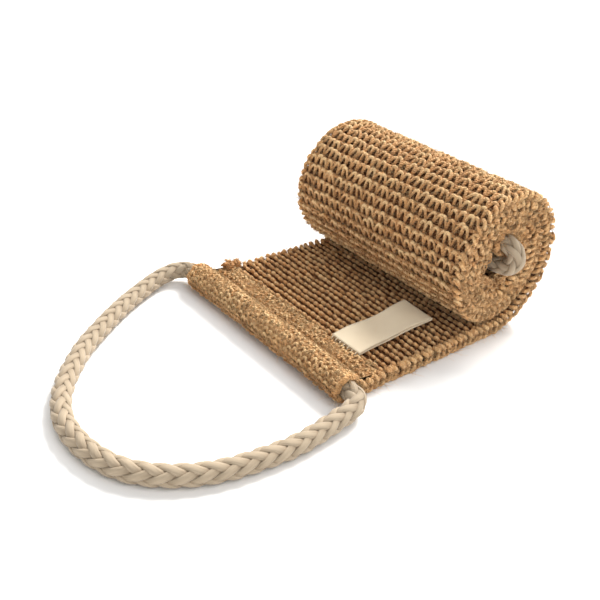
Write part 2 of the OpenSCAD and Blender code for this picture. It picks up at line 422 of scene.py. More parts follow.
def tape_material(name, dark, light):
    """Cream cotton tape in a fine weave."""
    material, tree, shader = new_material(name, roughness=0.75, specular=0.3)
    place = object_place(tree)
    warp = node(tree, "ShaderNodeTexWave", place, wave_type="BANDS", bands_direction="Y",
                Scale=640.0, Distortion=0.6, Detail=1.0)
    weft = node(tree, "ShaderNodeTexWave", place, wave_type="BANDS", bands_direction="X",
                Scale=520.0, Distortion=0.8, Detail=1.0)
    weave = calculate(tree, "MULTIPLY", warp.outputs["Fac"], weft.outputs["Fac"])
    patches = noise(tree, place, 60.0, 3.0)
    shade = calculate(tree, "MULTIPLY_ADD", weave, 0.45, patches)
    colours = ramp(tree, shade, [(0.25, dark), (0.9, light)])
    tree.links.new(colours, shader.inputs["Base Color"])
    set_relief(tree, shader, weave, 0.5, 0.0001)
    set_sheen(shader, 0.1)
    return material


JUTE = jute_material("jute_knit", dark=(0.18, 0.065, 0.02), mid=(0.67, 0.34, 0.135),
                     light=(0.92, 0.62, 0.32), straw=(1.06, 1.07, 1.02))
# Painted shade: the knit's core gets near-black browns so its holes read as shadow.
JUTE_CORE_SHADE = core_material("jute_core_painted_shade", dark=(0.05, 0.02, 0.008), light=(0.24, 0.11, 0.045))
JUTE_FELT = core_material("jute_felt", dark=(0.17, 0.08, 0.03), light=(0.55, 0.32, 0.15))
ROPE = cotton_material("cotton_rope", dark=(0.17, 0.12, 0.072), light=(0.435, 0.35, 0.25),
                       lines=7.0, depth=0.0004, scale=0.12)
THREAD = cotton_material("cotton_thread", dark=(0.45, 0.35, 0.23), light=(0.75, 0.64, 0.47),
                         lines=4.0, depth=0.0001, scale=0.6)
TAPE = tape_material("cotton_tape", dark=(0.60, 0.48, 0.33), light=(0.77, 0.66, 0.48))


# ---------------------------------------------------------------- camera, light and floor
# The camera looks at TARGET from the photo's side, height and tilt, in degrees.
AZIMUTH = -41.965
ELEVATION = 30.463
ROLL = 5.455
TARGET = (-34.086, -14.042, 24.249)
DISTANCE = 302.007
FOCAL = 47.1
# Each sun's name, the side it shines from, its width in degrees, its strength and its colour.
SUNS = [
    ("key", (0.47, 0.15, 0.48), 24, 5.3, (1, 0.985, 0.96)),
    ("side", (0.05, -0.5, 0.85), 50, 1.15, (1, 1, 1)),
    ("back", (0.25, 0.6, 0.6), 60, 0.8, (1, 1, 1)),
]
# The backdrop is white up to one height, and dimmer from another one, overhead.
BACKDROP = [(0.32, (1, 1, 1)), (0.58, (0.33, 0.33, 0.33))]
BACKDROP_STRENGTH = 1.06
FLOOR_HALF = 20.0
FLOOR_COLOUR = (0.93, 0.925, 0.915)


def place_camera():
    azimuth, elevation, roll = (math.radians(a) for a in (AZIMUTH, ELEVATION, ROLL))
    back = Vector((math.sin(azimuth) * math.cos(elevation),
                   -math.cos(azimuth) * math.cos(elevation), math.sin(elevation)))
    right = Vector((0, 0, 1)).cross(back).normalized()
    over = back.cross(right)
    turned_right = math.cos(roll) * right + math.sin(roll) * over
    turned_over = -math.sin(roll) * right + math.cos(roll) * over
    camera = bpy.data.cameras.new("camera")
    camera.sensor_width = 36
    camera.lens = FOCAL
    obj = bpy.data.objects.new("camera", camera)
    bpy.context.scene.collection.objects.link(obj)
    place = Matrix((turned_right, turned_over, back)).transposed().to_4x4()
    place.translation = Vector(TARGET) * MM + back * DISTANCE * MM
    obj.matrix_world = place
    bpy.context.scene.camera = obj


def lights_and_floor():
    scene = bpy.context.scene
    scene.view_settings.view_transform = "Standard"
    world = bpy.data.worlds.new("studio")
    world.use_nodes = True
    sky = world.node_tree
    split = node(sky, "ShaderNodeSeparateXYZ",
                 node(sky, "ShaderNodeTexCoord").outputs["Generated"])
    background = sky.nodes["Background"]
    background.inputs["Strength"].default_value = BACKDROP_STRENGTH
    sky.links.new(ramp(sky, split.outputs["Z"], BACKDROP), background.inputs["Color"])
    scene.world = world
    mesh = bpy.data.meshes.new("floor")
    s = FLOOR_HALF
    mesh.from_pydata([(-s, -s, 0), (s, -s, 0), (s, s, 0), (-s, s, 0)], [], [(0, 1, 2, 3)])
    material, _, shader = new_material("floor", roughness=0.9, specular=0.5)
    shader.inputs["Base Color"].default_value = (*FLOOR_COLOUR, 1)
    mesh.materials.append(material)
    floor = bpy.data.objects.new("floor", mesh)
    scene.collection.objects.link(floor)
    for name, side, width, power, colour in SUNS:
        light = bpy.data.lights.new(name, "SUN")
        light.angle = math.radians(width)
        light.energy = power
        light.color = colour
        obj = bpy.data.objects.new(name, light)
        obj.location = side
        obj.rotation_euler = (-Vector(side)).to_track_quat("-Z", "Y").to_euler()
        scene.collection.objects.link(obj)


# ---------------------------------------------------------------- ropes
# The front handle's route: in front of the channel, across the band, above the table.
CHANNEL_X = -38.8
CHANNEL_Z = 6.2
FRONT_ROUTE = [
    (0, 52, 6.2), (1, 56, 6.1), (4.5, 59, 5.6), (10, 59.5, 5), (18, 57.5, 4.3),
    (27, 53.5, 3.8), (37, 48, 3.8), (47, 41.5, 3.8), (56, 35, 3.8), (65, 28, 3.8),
    (73, 20, 3.8), (80, 12, 3.8), (86, 3, 3.8), (90, -7, 3.8), (91, -18, 3.8),
    (89.5, -29, 3.8), (85.5, -39, 3.8), (78, -47.5, 3.8), (68, -54, 3.8),
    (57, -58, 3.8), (45, -60, 3.8), (33, -61, 3.8), (22, -60.5, 4.3), (12, -59.5, 5),
    (4.5, -58.5, 5.6), (1, -56, 6.1), (0, -52, 6.2),
]
# The back handle's route, from its channel: along the band, across it, off its inner face.
BACK_ROUTE = [
    (0, -52, 0), (0, -54.5, 1.5), (0, -56.5, 5.3), (0, -54.5, 9.2), (0, -51, 10.7),
    (0, -30, 10.7), (0, -10, 10.7), (0, 6, 10.7),
    (-1, 9, 12), (-2, 10.2, 14.2), (-3, 9, 16.5), (-4.1, 6, 17.8),
    (-4.1, -8, 17.8), (-4.1, -22, 17.8),
    (-3, -25, 17.8), (0, -26.2, 17.8), (3, -25, 17.8), (4.1, -22, 17.8),
    (4.1, 0, 17.8), (4.1, 20, 17.8), (4.1, 40, 17.8), (4.1, 52, 17.8),
    (3.7, 57, 16.2), (2.6, 60, 12), (1.4, 60.5, 7), (0.4, 57.5, 2), (0, 52, 0),
]
# How far the back handle's route leans over in the core.
CORE_LEAN = math.radians(5)
# The routes' ends are carried on to this far off the channel's middle.
CHANNEL_REACH = 46.0
# The length of each handle from one end of its hem to the other, in metres.
FRONT_LENGTH = 0.252
BACK_LENGTH = 0.228
# The hem's tube, and the back channel's place at the inner end of the band.
HEM_R = 6.2
CORE_INSET = 0.4
BAND_TIP = on_band(BAND_END, 0.0, 0.0)
BACK_CHANNEL_X = BAND_TIP[0] - 3
BACK_CHANNEL_Z = BAND_TIP[2] - (HEM_R - HALF_T + CORE_INSET)
# The braid: its strands each way round, the length of one turn, how far the strands' middles
# are from the rope's middle, how far they move in and out, and half their width and thickness.
STRANDS = 6
LAY = 40.0
STRAND_OUT = 2.6
STRAND_WANDER = 0.5
STRAND_HALF_WIDE = 1.42
STRAND_HALF_THICK = 0.8


def distances(line):
    """How far along the line each of its points is."""
    return np.concatenate([[0], np.cumsum(np.linalg.norm(np.diff(line, axis=0), axis=1))])


def smooth_route(points, spacing):
    """A centripetal spline through the points, at even spacing."""
    p = np.array(points, float)
    p = np.concatenate([[2 * p[0] - p[1]], p, [2 * p[-1] - p[-2]]])
    out = []
    for a, b, c, d in zip(p, p[1:], p[2:], p[3:]):
        gaps = [max(np.linalg.norm(y - x), 1e-6) ** 0.5 for x, y in ((a, b), (b, c), (c, d))]
        t0, t1 = 0.0, gaps[0]
        t2 = t1 + gaps[1]
        t3 = t2 + gaps[2]
        t = np.linspace(t1, t2, 24, endpoint=False)[:, None]
        a1 = (t1 - t) / (t1 - t0) * a + (t - t0) / (t1 - t0) * b
        a2 = (t2 - t) / (t2 - t1) * b + (t - t1) / (t2 - t1) * c
        a3 = (t3 - t) / (t3 - t2) * c + (t - t2) / (t3 - t2) * d
        b1 = (t2 - t) / (t2 - t0) * a1 + (t - t0) / (t2 - t0) * a2
        b2 = (t3 - t) / (t3 - t1) * a2 + (t - t1) / (t3 - t1) * a3
        out.append((t2 - t) / (t2 - t1) * b1 + (t - t1) / (t2 - t1) * b2)
    line = np.concatenate(out + [p[-2:-1]])
    done = distances(line)
    even = np.linspace(0, done[-1], int(done[-1] / spacing) + 1)
    return np.stack([np.interp(even, done, line[:, k]) for k in range(3)], -1), done[-1]


def rounded(line, times=12):
    """The line with its corners eased, because a braided rope is too stiff for them."""
    for _ in range(times):
        line[1:-1] = (line[:-2] + 2 * line[1:-1] + line[2:]) / 4
    return line


def carried_frames(line):
    """Two directions square to the line, carried along it without twisting."""
    along = unit(np.gradient(line, axis=0))
    side = np.empty_like(line)
    side[0] = unit(np.cross(along[0], (0, 0, 1.0)))
    for k in range(1, len(line)):
        side[k] = unit(side[k - 1] - along[k] * (side[k - 1] @ along[k]))
    return side, np.cross(along, side)


def braid(line):
    """Twelve strands round a line, each over two and under two, in six columns."""
    side, over = carried_frames(line)
    s = distances(line)
    paths, ups, tones = [], [], []
    for hand in (1, -1):
        for k in range(STRANDS):
            start = (2 * k + (hand < 0)) * math.pi / STRANDS
            angle = hand * TURN * s / LAY + start
            above = hand * np.sin(angle * STRANDS / 2)
            out = np.cos(angle)[:, None] * side + np.sin(angle)[:, None] * over
            paths.append(line + out * (STRAND_OUT + STRAND_WANDER * above)[:, None])
            ups.append(out)
            # Painted shade: a strand's tone is lower where it passes under the others.
            tones.append(0.5 + 0.35 * above)
    return tubes(np.array(paths), np.array(ups), STRAND_HALF_WIDE, STRAND_HALF_THICK, sides=14,
                 tone=np.array(tones), lobes=7)


def rope_points():
    """The two handles' routes in space."""
    front = [(CHANNEL_X - p[0], p[1], p[2]) for p in FRONT_ROUTE]
    cos, sin = math.cos(CORE_LEAN), math.sin(CORE_LEAN)
    centre = np.array([BACK_CHANNEL_X, DRIFT, BACK_CHANNEL_Z])
    back = [centre + np.array([z * sin - x * cos, y, -x * sin - z * cos])
            for x, y, z in BACK_ROUTE]
    return front, back


def into_channel(points):
    """The route with both of its ends carried on inside the channel."""
    first, last = points[0], points[-1]
    reach = np.sign(first[1]) * CHANNEL_REACH
    return [(first[0], reach, first[2]), *points, (last[0], -reach, last[2])]


def make_ropes():
    front, back = rope_points()
    for name, points, body, cad_node, length in (
            ("handle_rope_front_braid", front, "front_handle", "handle_rope_front", FRONT_LENGTH),
            ("handle_rope_back_braid", back, "back_handle", "handle_rope_back", BACK_LENGTH)):
        line = rounded(smooth_route(into_channel(points), 0.9)[0])
        rope = join_tubes(name, [braid(line)], ROPE)
        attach(rope, body)
        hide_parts(cad_node)


# ---------------------------------------------------------------- the knit
class Face:
    """How the loops of one face of the knit are laid, in millimetres."""

    def __init__(self, sign, pitch, row, reach, bulge, top, bottom, radius, steps, jitter,
                 hold, square, tones):
        self.sign = sign        # which side of the band: +1 top of the flat, -1 underneath
        self.pitch = pitch      # from loop to loop across the band
        self.row = row          # from row to row along the band
        self.reach = reach      # how far a loop is drawn along the band, each way
        self.bulge = bulge      # how much wider its head is than its foot
        self.top = top          # the yarn's middle at the head, from the fabric's surface
        self.bottom = bottom    # and at the foot
        self.radius = radius    # of the yarn
        self.steps = steps      # rings of the mesh per loop
        self.jitter = jitter    # how uneven the loops are
        self.hold = hold        # above 1, the head lies flat for longer before it dives
        self.square = square    # below 1, the head is rounder and the legs straighter
        # The foot lies deep in the fabric, and its lower tone there is painted shade.
        self.tones = tones      # of the yarn, at the foot and at the head

    def numbers(self, low, high):
        """The numbers of the rows that start from low up to high, counted from the seam."""
        first, end = (math.ceil((u - SEAM_X) / self.row) for u in (low, high))
        return np.arange(first, end)


OUTER = Face(sign=-1, pitch=3.7, row=4.6, reach=2.0, bulge=0.55, top=-0.35, bottom=-2.0,
             radius=0.7, steps=16, jitter=1.2, hold=1.15, square=0.6, tones=(-0.02, 0.78))
INNER = Face(sign=1, pitch=3.1, row=3.45, reach=0.75, bulge=0.1, top=-0.75, bottom=-3.0,
             radius=0.84, steps=10, jitter=0.9, hold=1.05, square=1.0, tones=(0.0, 0.6))
HEM_FACE = Face(sign=1, pitch=3.1, row=2.35, reach=1.1, bulge=0.35, top=-0.25, bottom=-1.15,
                radius=0.56, steps=10, jitter=1.5, hold=1.2, square=0.8, tones=(0.22, 0.76))
# Where a row's middle is, in rows past its number.
ROW_START = 0.3
# The rows end this far from the middle of the band, and the fabric's middle layer too.
ROW_HALF = HALF_W - 0.9
CORE_HALF = 48.6
CORE_HALF_T = 1.25
# The chain along the band's edges: from stitch to stitch, how far a stitch slants along the
# edge, how far it reaches each way over the edge, and its place across the band.
EDGE_PITCH = 3.4
EDGE_SLANT = 2.6
EDGE_REACH = 2.75
EDGE_OUT = 48.7


def varied(middle, spread, shape):
    """The middle value, with a random part added."""
    return middle + random.normal(0, spread, shape)


def varied_tint(middle, spread, shape):
    return np.clip(varied(middle, spread, shape), 0, 1)


def any_way(count):
    """Directions at random, all round."""
    return unit(random.normal(0, 1, (count, 3)))


def facing(paths, side):
    """Directions off one edge of the band, for every point of the paths."""
    up = np.zeros_like(paths)
    up[..., 1] = side
    return up


def knit_rows(face, starts, numbers, place, normal, tint=0.35, flat=1.0, shade=0.0, sides=6):
    """Rows of loops across the band. place and normal turn (along, across, height) into space."""
    count = round(2 * ROW_HALF / face.pitch)
    pitch = 2 * ROW_HALF / count
    m = len(starts)
    n = count * face.steps
    shape = (m, count)
    # theta goes once round each loop, and is 0 at its head.
    theta = np.linspace(-math.pi, math.pi, face.steps, endpoint=False)
    head = np.cos(theta / 2) ** 2
    slip = random.normal(0, 0.16 * face.jitter, shape)[..., None]
    grow = random.normal(0, 0.3 * face.jitter, shape)[..., None]
    lean = random.normal(0, 0.16 * face.jitter, shape)[..., None]
    lift = random.normal(0, 0.16 * face.jitter, shape)[..., None]
    swell = random.normal(1, 0.09, shape)[..., None]
    # Each second row is shifted by half a loop.
    across = -ROW_HALF + pitch * (np.arange(count) + 0.5)
    shift = (np.array(numbers) % 2 - 0.5) * pitch / 2
    squared = np.sign(np.cos(theta)) * np.abs(np.cos(theta)) ** face.square
    drawn = -face.reach * squared - np.clip(grow, -0.7, 0.7) * head
    v = across[None, :, None] + shift[:, None, None] + pitch * theta / TURN
    v = v + face.bulge * np.sin(theta) + slip * head + lean * (drawn - face.reach)
    wave_size = random.normal(0, 0.12 * face.jitter, (m, 1, 1))
    wave = wave_size * np.sin(v / 9 + random.uniform(0, 6, (m, 1, 1)))
    u = np.array(starts)[:, None, None] + drawn + wave
    dive = ((1 - np.cos(theta)) / 2) ** face.hold
    h = face.top + (face.bottom - face.top) * dive + np.clip(lift, -0.25, 0.3) * head
    u, v, h = (a.reshape(m, n) for a in np.broadcast_arrays(u, v, h))
    taper = 1 - 0.22 * np.sin(theta / 2) ** 2
    thick = (face.radius * taper * np.broadcast_to(swell, (m, count, face.steps))).reshape(m, n)
    # Painted shade: the yarn's tone falls as it dives deep into the fabric, and shade lowers whole
    # rows further.
    depth = np.clip((h - face.bottom) / (face.top - face.bottom), 0, 1.2)
    per_loop = np.repeat(random.normal(0, 0.07, shape), face.steps, axis=1)
    tone = face.tones[0] + (face.tones[1] - face.tones[0]) * depth + per_loop + shade
    tints = np.clip(tint + np.repeat(random.normal(0, 0.2, shape), face.steps, axis=1), 0, 1)
    return tubes(place(u, v, h), normal(u, v, h), thick, thick * flat, sides=sides, tone=tone,
                 tint=tints)


def band_place(sign):
    """Turns (along, across, height over one face of the band) into space."""
    return lambda u, v, h: on_band(u, v, sign * (HALF_T + h))


def band_normal(sign):
    place = band_place(sign)
    return lambda u, v, h: place(u, v, h + 0.5) - place(u, v, h)


def face_rows(face, low, high, sides):
    numbers = face.numbers(low, high)
    starts = SEAM_X + numbers * face.row + face.row * ROW_START
    return knit_rows(face, starts, numbers, band_place(face.sign), band_normal(face.sign),
                     sides=sides)


def head_yarns(low, high):
    """The yarn of the row before, which runs under the heads of each row of the outer face."""
    starts = SEAM_X + (OUTER.numbers(low, high)[:, None] + ROW_START) * OUTER.row - OUTER.reach
    v = np.linspace(-48.5, 48.5, 80)[None]
    wave = 0.25 * np.sin(v * TURN / OUTER.pitch + starts)
    h = -1.25 + 0.2 * np.sin(v / 2.9 + starts)
    u, v, h = np.broadcast_arrays(starts + wave, v, h)
    # The low tone of this yarn is painted shade, for lying deep under the heads.
    return tubes(band_place(-1)(u, v, h), band_normal(-1)(u, v, h), half_wide=0.8,
                 half_thick=0.62, tone=varied(0.3, 0.1, u.shape), tint=0.3)


def edge_stitches(low, high, side):
    """A chain of slanting stitches along one edge of the band."""
    numbers = np.arange(math.ceil(low / EDGE_PITCH), math.ceil(high / EDGE_PITCH))
    if not len(numbers):
        return []
    each = (len(numbers), 1)
    # t goes from -1 at one face of the band to 1 at the other.
    t = np.linspace(-1, 1, 13)
    u = numbers[:, None] * EDGE_PITCH + EDGE_SLANT * (1 - np.abs(t) ** 1.4) - EDGE_SLANT / 2
    u = varied(u, 0.2, each)
    w = varied(EDGE_REACH * np.sin(t * math.pi / 2), 0.15, each)
    out = varied(EDGE_OUT + np.sin(np.abs(t) * math.pi) ** 0.7, 0.2, each) - 0.9 * np.abs(t) ** 6
    points = on_band(u, side * out, w)
    tone = varied(0.5 + 0.12 * np.sin(np.abs(t) * math.pi), 0.06, each)
    return [tubes(points, facing(points, side), half_wide=0.92, half_thick=0.78, sides=8,
                  columns=8, tone=tone, tint=varied_tint(0.45, 0.2, each))]


def fibres(roots, ways, lengths, thin=0.075, tint=0.7, tone=0.72, curl=0.75):
    """Loose hairs that leave roots along ways and curve off. None goes into the table."""
    t = np.linspace(0, 1, 5)[None, :, None]
    bend = random.normal(0, curl, (len(roots), 1, 3))
    size = np.asarray(lengths)[:, None, None]
    paths = roots[:, None] + size * (t * ways[:, None] + t * t * bend)
    paths = paths[paths[..., 2].min(1) > TABLE_GAP]
    m = len(paths)
    radius = thin * np.linspace(1, 0.35, 5)[None, :] * random.uniform(0.7, 1.3, (m, 1))
    return tubes(paths, unit(random.normal(0, 1, (m, 1, 3))), radius, radius, sides=3,
                 columns=24, tone=varied(tone, 0.12, (m, 1)), tint=varied_tint(tint, 0.25, (m, 1)))


def face_fibres(low, high, per_mm, outer_share, thin=0.075):
    """Hairs on both faces of the band. outer_share is how many of them the outer face has."""
    count = int((high - low) * per_mm)
    u = random.uniform(low, high, count)
    v = random.uniform(-HALF_W, HALF_W, count)
    sign = np.where(random.uniform(size=count) < outer_share, -1, 1)
    roots = on_band(u, v, sign * (HALF_T - 0.5))
    out = on_band(u, v, sign * (HALF_T + 0.5)) - roots
    ways = unit(any_way(count) + 0.45 * out)
    # The hairs on the faces are lighter than other hairs, a painted highlight of fuzz catching the
    # light.
    return fibres(roots, ways, random.uniform(0.9, 2.4, count), thin=thin, tone=0.85)


def edge_fibres(low, high, side, per_mm):
    count = int((high - low) * per_mm)
    u = random.uniform(low, high, count)
    w = random.uniform(-3.0, 3.0, count)
    roots = on_band(u, side * random.uniform(48.8, 49.9, count), w)
    ways = unit(any_way(count) + np.array([0, 0.7 * side, 0]))
    return fibres(roots, ways, random.uniform(1.2, 3.4, count))


def curls(roots, side, thin, thick, large):
    """A curl of yarn at each root, up to large in radius, that rises off one edge of the band."""
    count = len(roots)
    each = (count, 1, 1)
    t = np.linspace(0, 1, 14)[None, :, None]
    start = random.uniform(0, TURN, each)
    turns = random.uniform(0.7, 1.15, each) * TURN
    r = random.uniform(0.7, large, each)
    one = unit(random.normal(0, 1, (count, 1, 3)) * [1, 0.35, 1])
    two = unit(np.cross(one, random.normal(0, 0.4, (count, 1, 3)) + [0, 1, 0]))
    rise = np.array([0, side, 0]) * np.sin(t * math.pi) * random.uniform(0.2, 1.0, each)
    angle = start + turns * t
    paths = roots[:, None] + r * (np.cos(angle) * one + np.sin(angle) * two) + rise
    taper = np.sin(np.linspace(0.2, math.pi - 0.2, 14)) ** 0.3
    radius = random.uniform(thin, thick, (count, 1)) * taper
    return tubes(paths, facing(paths, side), radius, radius, sides=6, columns=10,
                 tone=varied(0.55, 0.1, (count, 1)), tint=0.5)


def edge_curls(low, high, side, per_mm):
    """Loose curled yarn along an edge."""
    count = max(1, int((high - low) * per_mm))
    u = random.uniform(low, high, count)
    v = side * random.uniform(48.9, 49.7, count)
    w = random.uniform(-1.7, 1.7, count)
    return curls(on_band(u, v, w), side, thin=0.2, thick=0.38, large=0.95)


def core_tangle(low, high, side, rope):
    """Loose curled yarn that fills the roll's core at one end, clear of the rope and the hem."""
    per_mm = 5
    rope_gap, hem_gap = 5.4, HEM_R + 0.3
    count = int((high - low) * per_mm)
    u = random.uniform(low, high, count)
    v = side * random.uniform(43.5, 48.8, count)
    roots = on_band(u, v, random.uniform(HALF_T, 8.0, count))
    from_rope = np.linalg.norm(roots[:, None] - rope[None], axis=-1).min(1)
    from_hem = np.hypot(roots[:, 0] - BACK_CHANNEL_X, roots[:, 2] - BACK_CHANNEL_Z)
    free = (from_rope > rope_gap) & (from_hem > hem_gap)
    return curls(roots[free], side, thin=0.24, thick=0.42, large=1.7)


def knit_core(name, low, high):
    """The thin closed middle of the fabric; its near-black colour is painted shade seen through
    the knit's holes.
    """
    u = np.linspace(low, high, 9)[:, None]
    v = np.array([[-CORE_HALF, -24.0, 0.0, 24.0, CORE_HALF]])
    points, faces = two_sided([on_band(u, v, -CORE_HALF_T), on_band(u, v, CORE_HALF_T)])
    return plain_mesh(name, points, faces, JUTE_CORE_SHADE, "jute_knit")


def flat_pieces(low, high):
    """The yarn of the flat part: its top with both edges, and its underside."""
    top = [face_rows(INNER, low, high, sides=8), face_fibres(low, high, 16, outer_share=0.0)]
    for side in (-1, 1):
        top += edge_stitches(low, high, side)
        top.append(edge_fibres(low, high, side, per_mm=9))
        top.append(edge_curls(low, high, side, per_mm=0.35))
    under = [face_rows(OUTER, low, high, sides=6), face_fibres(low, high, 8, outer_share=1.0)]
    return [join_tubes("knit_00_top", top, JUTE),
            join_tubes("knit_00_under", under, JUTE)]


def rolled_piece(number, low, high, rope):
    """The yarn of one rolled stretch. The outermost turn shows the most fluff."""
    outermost = number < 10
    fluffy_edge = number > 4
    in_core = number > 11
    groups = [face_rows(OUTER, low, high, sides=6), face_rows(INNER, low, high, sides=6),
              head_yarns(low, high)]
    if outermost:
        groups.append(face_fibres(low, high, 100, outer_share=0.9, thin=0.06))
    else:
        groups.append(face_fibres(low, high, 24, outer_share=0.5))
    for side in (-1, 1):
        groups += edge_stitches(low, high, side)
        groups.append(edge_fibres(low, high, side, per_mm=9))
        groups.append(edge_curls(low, high, side, per_mm=1.8 if fluffy_edge else 0.35))
    if in_core:
        groups.append(core_tangle(low, high, -1, rope))
    return join_tubes("knit_%02d" % number, groups, JUTE)


def make_band():
    rope = smooth_route(into_channel(rope_points()[1]), 3.0)[0]
    low, high = SEAM_X, ARC_ENDS[0]
    core = knit_core("knit_core_00", low, high)
    yarn = flat_pieces(low, high)
    for piece in (core, *yarn):
        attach(piece, "flat_band")
    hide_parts("band_flat")
    for number in range(1, ARC_COUNT + 1):
        low, high = ARC_ENDS[number - 1], ARC_ENDS[number]
        core = knit_core("knit_core_%02d" % number, low, high)
        yarn = rolled_piece(number, low, high, rope)
        start, end = (tuple(on_band(x, 0.0, 0.0) * MM * [1, 0, 1]) for x in (low, high))
        for piece in (core, yarn):
            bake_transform(piece)
        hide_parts("band_section_%02d" % number)


# ---------------------------------------------------------------- the hems
BORE_R = 3.95
# Hairs further out than this would lie across the channel's mouth.
MOUTH_CLEAR = 47.0
# A hem's core: how far it is under the hem's outline, and half its length.
HEM_CORE_DEPTH = 0.85
HEM_CORE_HALF = 48.8
# Where the front hem's sewing is, from the channel's middle, and what stays clear of it.
GROOVE_X = 8.3
GROOVE_CLEAR = 1.6
# From stitch to stitch of the sewing.
STITCH_PITCH = 6.6
# Where the web of the front hem starts along the band. It ends at the seam.
WEB_START = -33.5
# The front hem's outline from its seam over the channel to the table, from the channel's middle.
FRONT_OUTLINE = [
    (17.6, 0.7), (16.2, 1.35), (13.5, 1.3), (10.4, 1.0), (8.3, 0.1), (6.6, 1.5), (5.3, 3.1),
    (4.0, 4.6), (2.3, 5.75), (0, 6.2), (-2.37, 5.73), (-4.38, 4.38), (-5.73, 2.37),
    (-6.2, 0), (-5.73, -2.37), (-4.38, -4.38), (-2.37, -5.73), (0, -6.15), (4, -6.15),
    (10, -6.15), (17, -6.15),
]
BACK_OUTLINE = [
    (5.2, 3.2), (4.4, 4.3), (2.37, 5.73), (0, 6.2), (-2.37, 5.73), (-4.38, 4.38),
    (-5.73, 2.37), (-6.2, 0), (-5.73, -2.37), (-4.38, -4.38), (-2.37, -5.9), (0, -6.5),
    (2, -6.6), (4, -6.6),
]


class Hem:
    """A hem round its channel's middle, shifted along it. over is the sign of its way up."""

    def __init__(self, outline, middle, shift, over):
        line, self.length = smooth_route([(x, 0, z) for x, z in outline], 0.25)
        self.line = line[:, [0, 2]]
        self.at = np.linspace(0, self.length, len(line))
        slope = unit(np.gradient(self.line, axis=0))
        self.out = np.stack([slope[:, 1], -slope[:, 0]], -1)
        self.out *= 1 if self.out[len(line) // 2, 0] < 0 else -1
        self.middle, self.shift, self.over = middle, shift, over

    def local(self, s, h):
        """The place s along the outline and h off it, from the channel's middle."""
        x = np.interp(s, self.at, self.line[:, 0]) + h * np.interp(s, self.at, self.out[:, 0])
        z = np.interp(s, self.at, self.line[:, 1]) + h * np.interp(s, self.at, self.out[:, 1])
        return x, z

    def place(self, s, v, h):
        x, z = self.local(s, h)
        return self.world(x, v, z)

    def world(self, x, v, z):
        x, v, z = np.broadcast_arrays(x, v, z)
        z = self.middle[1] + self.over * z
        return np.stack([self.middle[0] + x, v + self.shift, z], -1)

    def normal(self, s, v, h):
        return self.place(s, v, h + 1.0) - self.place(s, v, h)


def hem_core(name, hem):
    """The fabric inside the hem's yarn, with the channel through it."""
    s = np.linspace(0, hem.length, 41)
    x, z = hem.local(s, -HEM_CORE_DEPTH)
    around = np.unwrap(np.arctan2(z, x))
    around = np.linspace(around[0], around[-1], len(s))
    rings = []
    for v in (-HEM_CORE_HALF, HEM_CORE_HALF):
        rings.append(hem.world(x, v, z))
        rings.append(hem.world(BORE_R * np.cos(around), v, BORE_R * np.sin(around)))
    n = len(s)
    faces = []
    for k in range(n):
        # a and b are the outside and the bore at one end, c and d at the other.
        a, b, c, d = k, n + k, 2 * n + k, 3 * n + k
        e, f, g, h = (j * n + (k + 1) % n for j in range(4))
        faces += [(a, e, g, c), (f, b, d, h), (e, a, b, f), (c, g, h, d)]
    return plain_mesh(name, np.concatenate(rings), faces, JUTE_FELT, "jute_knit", smooth=False)


def hem_hairs(hem, count, groove):
    """Long hairs felted down over the top of the hem, but not under the label."""
    s = random.uniform(0, hem.length, count)
    s = s[(hem.local(s, 0)[1] > -2) & (np.abs(s - groove) > GROOVE_CLEAR)]
    v = random.uniform(-MOUTH_CLEAR, MOUTH_CLEAR, len(s))
    margin = 1.5
    under_label = (s < 4) & (v < LABEL_Y + margin) & (v > LABEL_Y - LABEL_W - margin)
    s, v = s[~under_label], v[~under_label]
    count = len(s)
    roots = hem.place(s, v, random.uniform(-0.1, 0.35, count))
    out = hem.normal(s, v, 0 * s)
    ways = any_way(count)
    ways = unit(ways - 0.92 * out * np.sum(ways * out, -1, keepdims=True))
    return fibres(roots, ways, random.uniform(1.5, 4.0, count), thin=0.09, tint=0.9, tone=0.74,
                  curl=0.2)


def channel_rims(hem, side):
    """Yarn round the mouth of the channel."""
    groups = []
    turn = np.linspace(0.3, TURN - 0.3, 40)
    for reach, v, thick in ((5.25, 49.1, 0.8), (4.6, 49.7, 0.6)):
        reach = varied(reach + 0.18 * np.sin(turn * 5 + reach), 0.05, len(turn))
        v = side * (v + 0.3 * np.sin(turn * 7))
        path = hem.world(reach * np.cos(turn), v, reach * np.sin(turn))[None]
        groups.append(tubes(path, facing(path, side), thick, thick, sides=8, tone=0.45, tint=0.5))
    return groups


def point_fibres(centres, spread, side, count):
    """Hairs from within spread of the centres, off one edge of the band."""
    pick = centres[random.integers(0, len(centres), count)]
    roots = varied(pick, spread, (count, 3))
    ways = unit(any_way(count) + np.array([0, 0.6 * side, 0]))
    return fibres(roots, ways, random.uniform(1.2, 3.2, count))


